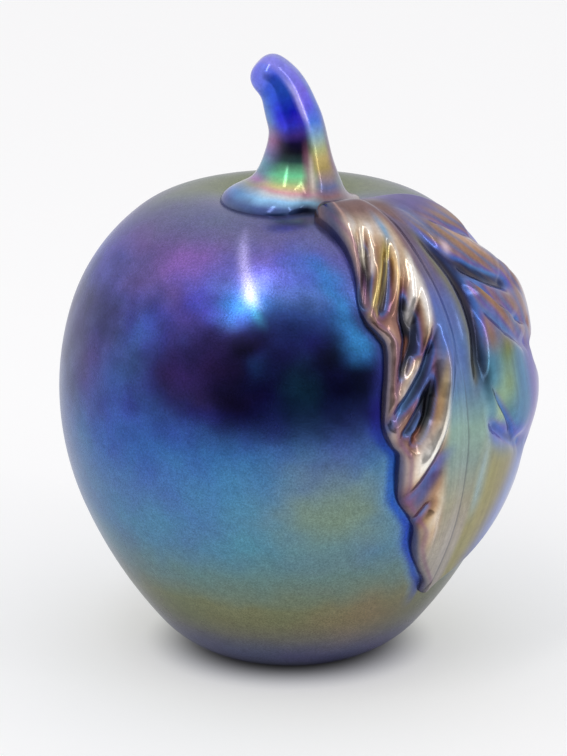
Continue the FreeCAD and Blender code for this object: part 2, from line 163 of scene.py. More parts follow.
def ring_mesh(name, points, colours):
    """A closed mesh over rings of points in mm, with a fan over the first and the last ring."""
    rows, columns = points.shape[:2]
    faces = []
    for i in range(rows - 1):
        for k in range(columns):
            n = (k + 1) % columns
            faces.append((i * columns + k, i * columns + n, (i + 1) * columns + n, (i + 1) * columns + k))
    verts = points.reshape(-1, 3)
    paint = colours.reshape(-1, 3)
    for row in (0, rows - 1):
        ring = list(range(row * columns, (row + 1) * columns))
        middle = len(verts)
        verts = np.vstack([verts, verts[ring].mean(0)])
        paint = np.vstack([paint, paint[ring].mean(0)])
        for k in range(columns):
            pair = (ring[k], ring[(k + 1) % columns])
            faces.append((*pair[::-1], middle) if row == 0 else (*pair, middle))
    return painted_object(name, verts, faces, paint)


def clean(obj):
    """Drops loose vertices and turns the faces outwards."""
    work = bmesh.new()
    work.from_mesh(obj.data)
    loose = [v for v in work.verts if not v.link_faces]
    bmesh.ops.delete(work, geom=loose, context="VERTS")
    bmesh.ops.recalc_face_normals(work, faces=work.faces)
    work.to_mesh(obj.data)
    work.free()


# The blown body
def leaf_edge(z):
    """Azimuth of the leaf's left edge, in degrees, at a height on the flank."""
    shoulder = DIMPLE_STEPS + ARC_STEPS
    length = np.interp(z, TABLE[shoulder:, 1][::-1], LENGTH[shoulder:][::-1])
    return AZIMUTH - LEFT_SWEEP * curve(LEFT_EDGE, np.clip((length - START) / LONG, 0, 1))


def body_colours(points, a, z):
    """Lustre of the blown body by azimuth in degrees from the front and height in mm."""
    # lustre by height: the darkest stop at the bottom is painted contact shade, and the dark band from 65 to
    # 80 mm is partly the glass's own blue, partly a painted reflection of the dark room
    stops = [
        (0, lin(14, 18, 26)), (4, lin(58, 66, 66)), (11, lin(112, 112, 80)), (20, lin(122, 126, 94)),
        (28, lin(100, 134, 138)), (35, lin(84, 132, 162)), (43, lin(76, 126, 170)),
        (50, lin(66, 114, 172)), (56, lin(52, 96, 162)), (61, lin(40, 72, 136)), (65, lin(28, 48, 104)),
        (70, lin(16, 22, 66)), (75, lin(18, 22, 70)), (80, lin(26, 32, 90)), (84, lin(54, 72, 158)),
        (88, lin(92, 106, 196)), (93, lin(106, 100, 168)), (97.5, lin(114, 114, 156)),
        (99.8, lin(128, 140, 148)),
    ]
    a0, z0 = a, z
    z = z + 4 * cloud(points, 18, 1) + 2 * cloud(points, 6, 2) + 1.2 * cloud(points, 2.6, 14)
    a = a + 8 * cloud(points, 14, 3) + 5 * cloud(points, 5, 4) + 3 * cloud(points, 2.6, 15)
    c = ramp(stops, z)
    # each spot: azimuth and its width in degrees, height and its width in mm, share, colour; the near-black
    # and dark blue spots on the front, 67 to 82 mm high, are a painted reflection of the dark room
    spots = [
        (-82, 24, 74, 16, 0.8, lin(104, 106, 142)), (-84, 26, 46, 20, 0.8, lin(124, 138, 164)),
        (-44, 20, 88, 9, 0.8, lin(104, 82, 128)), (-33, 9, 92, 4, 0.8, lin(146, 104, 184)),
        (-27, 6, 86, 5, 0.7, lin(84, 84, 196)),
        (-54, 13, 72, 9, 0.7, lin(86, 74, 134)), (-39, 8, 79, 6, 0.85, lin(68, 88, 184)),
        (-44, 8, 66, 8, 0.7, lin(64, 90, 172)), (-38, 13, 58, 6, 0.6, lin(52, 102, 170)),
        (-22, 12, 73, 9, 0.85, lin(46, 30, 86)), (-10, 20, 90, 4, 0.6, lin(104, 108, 206)),
        (-17, 7, 85.5, 3, 0.8, lin(52, 116, 204)), (6, 9, 91, 4, 0.7, lin(74, 108, 206)),
        (1, 9, 81.5, 4, 0.75, lin(16, 24, 76)), (-13, 6, 77.5, 3.4, 0.95, lin(2, 1, 24)),
        (-13, 4.5, 67, 5, 0.8, lin(8, 6, 42)), (-6, 3.5, 73.5, 3, 0.75, lin(30, 64, 116)),
        (4, 4, 69.5, 5, 0.75, lin(28, 68, 100)), (10.5, 3, 76, 3.2, 0.9, lin(3, 5, 28)),
        (18, 4.5, 70.5, 5, 0.9, lin(5, 12, 46)), (10, 13, 44, 11, 0.75, lin(130, 146, 102)),
        (22, 16, 16, 7, 0.7, lin(138, 118, 92)), (4, 30, 26, 5, 0.35, lin(112, 130, 110)),
        (-48, 14, 44, 9, 0.4, lin(78, 92, 160)),
    ]
    for at_a, size_a, at_z, size_z, share, colour in spots:
        c = blend(c, colour, share * bell(a - at_a, size_a) * bell(z - at_z, size_z))
    # the painted sheen slanting along the leaf, the crown's tint behind and in front, and painted contact
    # shade in dark blue at the heel
    painted_sheen = a - 10 - 0.6 * (90 - z)
    c = blend(c, lin(58, 122, 208), 0.75 * bell(painted_sheen, 4) * smooth(73, 77, z) * (1 - smooth(90, 95, z)))
    reach = np.hypot(points[..., 0], points[..., 1])
    front = 1 - smooth(40, 105, np.abs(a0))
    c = blend(c, lin(138, 148, 104), 0.9 * (1 - smooth(18, 38, reach)) * (1 - front))
    c = blend(c, lin(106, 108, 152), 0.8 * (1 - smooth(24, 36, reach)) * front)
    # painted contact shade: dark blue along the heel's lower edge
    heel = (1 - smooth(2, 7, z0)) * smooth(4, 26, a0) * (1 - smooth(60, 90, a0))
    c = blend(c, lin(22, 38, 110), 0.7 * heel)
    # deep blue beside the leaf's left edge
    beside = a0 - leaf_edge(z0) + 1.5 * cloud(points, 6, 4)
    tall = smooth(15, 25, z0) * (1 - smooth(84, 90, z0)) * (a0 < AZIMUTH)
    deep = ramp([
        (20, lin(34, 84, 176)), (50, lin(24, 66, 186)), (64, lin(34, 44, 128)), (90, lin(60, 60, 130)),
    ], z0)
    c = blend(c, deep, 0.9 * bell(beside + 1.0, 1.9) * tall)
    c = blend(c, lin(118, 164, 190), 0.3 * bell(beside + 3.6, 0.8) * tall * (1 - smooth(50, 60, z0)))
    # the long painted highlight on the shoulder and its bright lower end
    painted_streak = a0 + 10.2 + 0.72 * (z0 - 85.5)
    c = blend(c, lin(186, 182, 244), 0.75 * bell(painted_streak, 1.9) * smooth(84, 87, z0) * (1 - smooth(94, 99, z0)))
    c = blend(c, lin(96, 206, 255), 0.4 * bell(painted_streak, 1.5) * bell(z0 - 84.4, 1.8))
    mottle = 0.6 * cloud(points, 3.2, 5) * smooth(50, 66, z) * (1 - smooth(84, 94, z))
    return c * (1 + mottle + 0.20 * cloud(points, 0.9, 6))[..., None]


def degrees_from_front(azimuth, shape):
    """Azimuths in radians, repeated to a shape, as degrees from -180 to 180."""
    return (np.degrees(np.broadcast_to(azimuth, shape)) + 180) % 360 - 180


BODY_ROWS, BODY_COLUMNS = 240, 256
# the first ring's distance from the axis, in mm
AXIS_GAP = 0.3
# (radius, height) in mm of rings on the ground base and in the polished dish
DISH = [(14.5, 0), (11.05, 0), (9, 0.34), (6, 0.85), (3, 1.12), (0.8, 1.2)]


def make_body():
    """The turned outline, closed over the dimple and through the dish in the base."""
    r, z, _ = outline(np.linspace(AXIS_GAP, LENGTH[-1], BODY_ROWS))
    dish_r, dish_z = np.transpose(DISH)
    r, z = np.concatenate([r, dish_r]), np.concatenate([z, dish_z])
    a = np.linspace(0, 2 * pi, BODY_COLUMNS, endpoint=False)
    level = np.outer(z, np.ones(BODY_COLUMNS))
    points = np.stack([np.outer(r, np.sin(a)), -np.outer(r, np.cos(a)), level], -1)
    degrees = degrees_from_front(a, points.shape[:2])
    return ring_mesh("blown_body", points, body_colours(points, degrees, points[..., 2]))


# The stem: (rise, lean, radius) as shares of its height, its lean and its foot
STEM = np.array([
    (0.000, 0.00, 1.000), (0.030, 0.00, 0.985), (0.065, -0.03, 0.930), (0.100, -0.10, 0.840),
    (0.150, -0.20, 0.722), (0.212, -0.28, 0.628), (0.312, -0.30, 0.536), (0.401, -0.31, 0.480),
    (0.487, -0.32, 0.436), (0.573, -0.29, 0.406), (0.650, -0.21, 0.391), (0.720, -0.06, 0.379),
    (0.800, 0.09, 0.362), (0.860, 0.22, 0.345), (0.915, 0.40, 0.328), (0.960, 0.62, 0.314),
])
# closing rings of the round tip: (way past the last ring, radius) as shares of its radius
TIP = [(0.45, 0.96), (0.82, 0.78), (1.04, 0.42), (1.04, 0.02)]
# the stem's height, its foot's radius, its way in front of the body's axis and its lean, in mm
STEM_HEIGHT, FOOT, OFFSET, LEAN = 29.2, 14.7, 6.8, 5.1
# the first ring's depth under the crown, the rise up to which rings follow the dimple, the tip's extra lean
STEM_SINK, FOLLOW_TO, TIP_LEAN = 1.2, 0.6, 1.2
# the crease on the leaf's side: azimuth in degrees, depth in mm, half width in radians
CREASE_AT, CREASE_DEPTH, CREASE_WIDTH = 14, 3.0, 0.26
STEM_ROWS, STEM_COLUMNS = 150, 64


def spline(rows, count):
    """Points on a uniform cubic B-spline that has the rows as poles, as the CAD skin has."""
    rows = np.asarray(rows, float)
    rows = np.concatenate([rows[:1], rows[:1], rows, rows[-1:], rows[-1:]])
    spans = len(rows) - 3
    out = []
    for x in np.linspace(0, spans - 1e-9, count):
        i = int(x)
        t = x - i
        w = np.array([
            (1 - t) ** 3, 3 * t ** 3 - 6 * t * t + 4, -3 * t ** 3 + 3 * t * t + 3 * t + 1, t ** 3,
        ]) / 6
        out.append(np.tensordot(w, rows[i:i + 4], 1))
    return np.array(out)


def stem_colours(h, azimuth, points):
    """Lustre of the stem by height share and azimuth in degrees: rings on the foot, blue over them, with
    painted highlights, a painted dark reflection on the front and painted shade at the foot of the crease.
    """
    h = h + 0.03 * cloud(points, 3, 7)
    # on the front, the dark band from 0.39 to 0.53 of the height is a painted reflection of the dark room
    front = ramp([
        (0.00, lin(40, 56, 100)), (0.04, lin(80, 104, 160)), (0.09, lin(160, 214, 255)),
        (0.12, lin(206, 214, 220)), (0.15, lin(226, 170, 176)), (0.18, lin(214, 206, 140)),
        (0.22, lin(150, 206, 140)), (0.27, lin(116, 216, 150)), (0.33, lin(96, 166, 120)),
        (0.39, lin(34, 66, 62)), (0.46, lin(10, 14, 30)), (0.53, lin(22, 18, 58)),
        (0.60, lin(72, 54, 150)), (0.67, lin(60, 70, 232)), (0.76, lin(30, 54, 222)),
        (0.90, lin(46, 66, 226)), (0.96, lin(54, 66, 220)), (1.00, lin(120, 130, 238)),
    ], h)
    left = ramp([
        (0.00, lin(84, 92, 130)), (0.06, lin(84, 104, 158)), (0.10, lin(100, 148, 204)),
        (0.15, lin(156, 158, 140)), (0.20, lin(172, 128, 176)), (0.27, lin(112, 150, 168)),
        (0.34, lin(104, 156, 172)), (0.44, lin(128, 124, 172)), (0.54, lin(154, 108, 150)),
        (0.62, lin(130, 120, 160)), (0.72, lin(96, 136, 196)), (0.84, lin(76, 120, 208)),
        (0.95, lin(66, 92, 212)), (1.00, lin(128, 138, 236)),
    ], h)
    right = ramp([
        (0.00, lin(110, 104, 96)), (0.08, lin(104, 112, 122)), (0.13, lin(140, 104, 110)),
        (0.19, lin(104, 112, 160)), (0.25, lin(160, 140, 140)), (0.32, lin(176, 156, 92)),
        (0.40, lin(206, 184, 116)), (0.47, lin(190, 196, 138)), (0.56, lin(150, 190, 206)),
        (0.64, lin(84, 140, 244)), (0.74, lin(104, 100, 240)), (0.84, lin(132, 108, 232)),
        (1.00, lin(140, 138, 234)),
    ], h)
    edge = ramp([
        (0.00, lin(168, 146, 122)), (0.12, lin(160, 144, 150)), (0.22, lin(132, 146, 146)),
        (0.32, lin(142, 116, 134)), (0.45, lin(140, 118, 120)), (0.56, lin(132, 140, 158)),
        (0.68, lin(100, 126, 214)), (1.00, lin(150, 150, 222)),
    ], h)
    c = blend(left, front, smooth(-62, -22, azimuth))
    c = blend(c, right, smooth(14, 34, azimuth))
    c = blend(c, edge, smooth(52, 76, azimuth))
    c = blend(c, edge, smooth(-80, -130, azimuth))
    seam = bell(azimuth - 15, 5) * smooth(0.08, 0.16, h) * (1 - smooth(0.42, 0.60, h))
    c = blend(c, lin(150, 92, 124), 0.8 * seam)
    # a painted glint, pale, just right of the crease
    painted_glint = bell(azimuth - 22, 4) * smooth(0.12, 0.2, h) * (1 - smooth(0.36, 0.5, h))
    c = blend(c, lin(236, 214, 206), 0.7 * painted_glint)
    # painted shade: black in the notch at the foot of the crease
    c = blend(c, lin(16, 14, 20), 0.9 * bell(azimuth - 15, 11) * bell(h, 0.10))
    # a long painted highlight down the upper stem
    upper = smooth(0.56, 0.70, h) * (1 - smooth(0.88, 0.97, h))
    painted_streak = bell(azimuth - 27 + 8 * (h - 0.6), 3.5 + 3 * smooth(0.6, 0.8, h))
    c = blend(c, lin(206, 196, 255), 0.75 * painted_streak * upper)
    lines = np.sin(azimuth * 1.1 + 3 * h) * np.sin(azimuth * 2.3 + 1) * (1 - smooth(0.6, 0.8, h))
    return c * (1 + 0.20 * lines * smooth(0.2, 0.35, h) + 0.25 * cloud(points, 0.9, 8))[..., None]


def make_stem():
    """A skin through rings along the stem. The lower ones follow the dimple and carry the crease."""
    mids = [np.array([-lean * LEAN, -OFFSET, rise * STEM_HEIGHT]) for rise, lean, _ in STEM]
    # each row: centre, tilt, radius, how closely it follows the dimple, rise
    rows = [(mids[0] - (0, 0, STEM_SINK), 0.0, FOOT, 1.0, 0.0)]
    for i, (rise, _, share) in enumerate(STEM):
        way = mids[min(i + 1, len(STEM) - 1)] - mids[max(i - 1, 0)]
        tilt = atan2(way[0], way[2]) * min(1.0, max(0.0, 3 * rise))
        rows.append((mids[i], tilt, share * FOOT, max(0.0, 1 - rise / FOLLOW_TO), rise))
    last, tilt, radius = rows[-1][0], tilt * TIP_LEAN, rows[-1][2]
    way = np.array([sin(tilt), 0, cos(tilt)])
    for along, share in TIP:
        rows.append((last + way * along * radius, tilt, share * radius, 0.0, 0.96 + 0.04 * along))

    azimuth = np.linspace(0, 2 * pi, STEM_COLUMNS, endpoint=False)
    from_crease = (azimuth - radians(CREASE_AT) + pi) % (2 * pi) - pi
    middle = crown_height(OFFSET)
    front = np.array([0, -1, 0])
    rings = []
    for centre, tilt, radius, hug, rise in rows:
        pinch = CREASE_DEPTH * bell(from_crease, CREASE_WIDTH) * (0.75 * hug ** 4 + 0.25 * sqrt(hug))
        reach = (radius - pinch)[:, None]
        side = np.array([cos(tilt), 0, -sin(tilt)])
        ring = centre + (np.sin(azimuth)[:, None] * side + np.cos(azimuth)[:, None] * front) * reach
        crown = crown_height(np.hypot(ring[:, 0], ring[:, 1]))
        ring[:, 2] += middle + hug * (crown - middle)
        rings.append(np.column_stack([ring, np.full(STEM_COLUMNS, rise)]))
    fine = spline(rings, STEM_ROWS)
    points, rise = fine[..., :3], fine[..., 3]
    degrees = degrees_from_front(azimuth, rise.shape)
    return ring_mesh("pulled_stem", points, stem_colours(rise, degrees, points))


# The leaf: where it starts and how long it is along the outline, in mm, and its azimuth in degrees
START, LONG, AZIMUTH = 14.0, 101.5, 45.0
# sweeps to both sides in degrees, thickness and width of the rolled edge in mm
LEFT_SWEEP, RIGHT_SWEEP, THICK, ROLL = 26.0, 52.0, 4.0, 2.2
# half widths of the midrib and of a vein, in mm
MIDRIB, VEIN = 2.3, 2.0
LEAF_ROWS, LEAF_COLUMNS = 280, 221
# heights over the body of the skin's border and underside, in mm, and the least share left by the veins
BORDER_SINK, UNDER_SINK = -0.5, -0.9
LEAST_KEEP = 0.18
# edges and rises: (station, value) as shares of the length, and of the sweep or the thickness
LEFT_EDGE = [
    (0, 0.60), (0.045, 0.92), (0.075, 1.20), (0.100, 1.27), (0.142, 1.15), (0.196, 1.02), (0.265, 0.99),
    (0.323, 1.01), (0.363, 0.97), (0.392, 0.87), (0.412, 0.82), (0.451, 0.83), (0.52, 0.88),
    (0.573, 0.89), (0.608, 0.83), (0.632, 0.755), (0.676, 0.755), (0.73, 0.72), (0.774, 0.58),
    (0.799, 0.51), (0.848, 0.47), (0.887, 0.38), (0.931, 0.22), (0.966, 0.08), (1, 0.03),
]
RIGHT_EDGE = [
    (0, 0.20), (0.049, 0.36), (0.078, 0.53), (0.113, 0.68), (0.157, 0.75), (0.206, 0.76),
    (0.245, 0.72), (0.274, 0.66), (0.304, 0.70), (0.353, 0.84), (0.412, 0.95), (0.466, 0.95),
    (0.5, 0.85), (0.529, 0.73), (0.559, 0.76), (0.608, 0.87), (0.657, 0.85), (0.701, 0.74), (0.735, 0.66),
    (0.774, 0.69), (0.823, 0.66), (0.882, 0.50), (0.931, 0.30), (0.966, 0.10), (1, 0.03),
]
LEFT_RISE = [
    (0.0, 0.18), (0.045, 0.28), (0.075, 0.75), (0.105, 0.98), (0.20, 0.92), (0.35, 0.85),
    (0.70, 0.75), (0.90, 0.65), (1.0, 0.5),
]
RIGHT_RISE = [
    (0.0, 0.15), (0.05, 0.28), (0.10, 0.46), (0.20, 0.5), (0.29, 0.62), (0.35, 0.8), (0.42, 0.95),
    (0.52, 0.85), (0.62, 0.95), (0.71, 0.62), (0.81, 0.5), (0.9, 0.45), (1.0, 0.45),
]
# pressed lines and folds: depth or height, width and the way as (station, side), all as shares
PRESSED = [
    (0.80, 0.75, [(0.170, -0.79), (0.215, -0.78), (0.260, -0.85), (0.310, -0.93), (0.350, -0.98)]),
    (0.62, 0.60, [(0.200, -0.46), (0.250, -0.56), (0.310, -0.71), (0.370, -0.85)]),
    (0.82, 0.72, [
        (0.290, -0.44), (0.330, -0.52), (0.370, -0.56), (0.410, -0.56), (0.455, -0.64), (0.500, -0.74),
    ]),
    (0.70, 0.70, [(0.330, -0.42), (0.380, -0.47), (0.420, -0.48), (0.450, -0.52)]),
    (0.72, 0.60, [(0.385, -0.27), (0.430, -0.35), (0.475, -0.47), (0.520, -0.65), (0.560, -0.84)]),
    (0.82, 0.72, [(0.450, -0.31), (0.510, -0.39), (0.560, -0.46), (0.590, -0.54), (0.615, -0.66)]),
    (0.50, 0.50, [(0.490, -0.42), (0.530, -0.50), (0.570, -0.64), (0.600, -0.76)]),
    (0.44, 1.15, [(0.600, -0.24), (0.650, -0.35), (0.695, -0.50), (0.745, -0.78)]),
    (0.10, 0.90, [(0.655, -0.33), (0.680, -0.38), (0.710, -0.48)]),
    (0.48, 0.80, [(0.725, -0.32), (0.750, -0.42), (0.785, -0.56), (0.805, -0.64)]),
    (0.35, 0.80, [(0.800, -0.42), (0.870, -0.38), (0.940, -0.20)]),
    (0.78, 1.20, [
        (0.12, 0.05), (0.18, 0.10), (0.24, 0.135), (0.30, 0.165), (0.36, 0.16), (0.42, 0.14), (0.49, 0.105),
        (0.57, 0.06),
    ]),
    (0.45, 0.70, [(0.140, 0.24), (0.180, 0.34), (0.215, 0.46), (0.240, 0.60), (0.270, 0.70)]),
    (0.85, 0.90, [
        (0.245, 0.16), (0.280, 0.24), (0.310, 0.34), (0.340, 0.46), (0.365, 0.60), (0.385, 0.76),
    ]),
    (0.60, 0.50, [(0.300, 0.22), (0.345, 0.31), (0.390, 0.40), (0.430, 0.53), (0.465, 0.72)]),
    (0.48, 0.80, [(0.340, 0.20), (0.390, 0.26), (0.440, 0.38), (0.485, 0.55), (0.515, 0.78)]),
    (0.55, 0.50, [(0.520, 0.155), (0.570, 0.23), (0.620, 0.32), (0.660, 0.40)]),
    (0.60, 0.90, [(0.575, 0.08), (0.610, 0.16), (0.645, 0.28), (0.680, 0.44), (0.700, 0.62)]),
]
FOLDS = [
    (0.20, 0.50, [(0.120, -0.90), (0.180, -0.87), (0.250, -0.93), (0.310, -1.00)]),
    (0.20, 0.40, [(0.160, -0.64), (0.220, -0.70), (0.270, -0.79)]),
    (0.22, 0.60, [(0.170, -0.42), (0.250, -0.62), (0.310, -0.80), (0.360, -0.92)]),
    (0.25, 0.35, [(0.200, -0.40), (0.250, -0.46), (0.310, -0.58), (0.365, -0.68)]),
    (0.25, 0.40, [(0.230, -0.27), (0.290, -0.36), (0.340, -0.44), (0.380, -0.50)]),
    (0.30, 0.65, [
        (0.270, -0.24), (0.340, -0.32), (0.400, -0.38), (0.440, -0.48), (0.490, -0.66), (0.540, -0.80),
    ]),
    (0.35, 0.65, [
        (0.410, -0.17), (0.480, -0.22), (0.560, -0.32), (0.620, -0.42), (0.670, -0.56), (0.720, -0.70),
    ]),
    (0.22, 0.60, [(0.700, -0.28), (0.780, -0.36), (0.860, -0.33), (0.940, -0.15)]),
    (0.30, 0.45, [(0.120, 0.13), (0.190, 0.18), (0.250, 0.22)]),
    (0.35, 0.60, [(0.160, 0.27), (0.220, 0.38), (0.280, 0.52), (0.330, 0.70)]),
    (0.30, 0.70, [(0.320, 0.22), (0.360, 0.31), (0.410, 0.44), (0.450, 0.60)]),
]


def curve(table, share):
    """Smooth curve through a table of (station, value)."""
    x = np.array([t[0] for t in table])
    y = np.array([t[1] for t in table])
    slope = np.empty(len(x))
    slope[1:-1] = (y[2:] - y[:-2]) / (x[2:] - x[:-2])
    slope[0] = (y[1] - y[0]) / (x[1] - x[0])
    slope[-1] = (y[-1] - y[-2]) / (x[-1] - x[-2])
    i = np.clip(np.searchsorted(x, share, "right") - 1, 0, len(x) - 2)
    h = x[i + 1] - x[i]
    t = (share - x[i]) / h
    rising = y[i] * (1 + 2 * t) * (1 - t) ** 2 + slope[i] * h * t * (1 - t) ** 2
    return rising + y[i + 1] * t * t * (3 - 2 * t) + slope[i + 1] * h * t * t * (t - 1)


def flat(station, side):
    """A point of the leaf laid flat, in mm. side is a share of the sweep, negative on the left."""
    sweep = np.where(np.asarray(side) > 0, radians(RIGHT_SWEEP), radians(LEFT_SWEEP))
    return station * LONG, outline(START + np.asarray(station) * LONG)[0] * side * sweep


def to_line(x, y, line):
    """Distance from points to a line, and the share of the way along it."""
    best, way = np.full(x.shape, 1e9), np.zeros(x.shape)
    steps = len(line) - 1
    for i in range(steps):
        (ax, ay), (bx, by) = line[i], line[i + 1]
        t = np.clip(((x - ax) * (bx - ax) + (y - ay) * (by - ay)) / ((bx - ax) ** 2 + (by - ay) ** 2), 0, 1)
        off = np.hypot(x - ax - t * (bx - ax), y - ay - t * (by - ay))
        way = np.where(off < best, (i + t) / steps, way)
        best = np.minimum(best, off)
    return best, way


def leaf_height(station, side, across):
    """Height of the leaf's skin over the body, and the share of it that lines and folds leave."""
    x, y = flat(station, side)
    margin = np.abs(y) * (1 / np.maximum(across, 0.02) - 1)
    margin = np.where(across < 0.02, ROLL, margin)
    margin = np.minimum(margin, np.minimum(1.3 * x, 1.3 * (LONG - x)))
    roll = 1 - np.clip(margin / ROLL, 0, 1)
    half = 0.5 + 0.5 * np.sin(pi / 2 * np.clip(y / (2 * MIDRIB), -1, 1))
    rise = (1 - half) * curve(LEFT_RISE, station) + half * curve(RIGHT_RISE, station)
    keep = 1 - 0.42 * np.minimum(1, 1.6 * (1.05 - station)) * bell(y, MIDRIB)
    for depth, width, points in PRESSED:
        line = [tuple(float(v) for v in flat(*p)) for p in points]
        off, way = to_line(x, y, line)
        fade = np.minimum(1, np.minimum(3 * way + 0.1, 4 * (1 - way) + 0.35))
        dip = 0.7 * bell(off, width * VEIN) + 0.3 * bell(off, 2.6 * width * VEIN)
        keep = keep * (1 - depth * fade * dip)
    for raised, width, points in FOLDS:
        line = [tuple(float(v) for v in flat(*p)) for p in points]
        off, way = to_line(x, y, line)
        keep = keep + raised * np.minimum(1, np.minimum(4 * way, 3 * (1 - way))) * bell(off, width * VEIN)
    return THICK * np.sqrt(1 - roll * roll) * rise * np.maximum(LEAST_KEEP, keep), keep


def leaf_point(station, turn, lift):
    """Point of the leaf at a station, turned from its middle line and lifted off the body."""
    r, z, angle = outline(START + station * LONG)
    azimuth = radians(AZIMUTH) + turn
    reach = r + lift * np.cos(angle)
    return np.stack([reach * np.sin(azimuth), -reach * np.cos(azimuth), z + lift * np.sin(angle)], -1)


def spot(s, v, at_s, at_v, size_s, size_v):
    """Share of a soft oval spot of colour."""
    return np.exp(-(((s - at_s) / size_s) ** 2) - ((v - at_v) / size_v) ** 2)


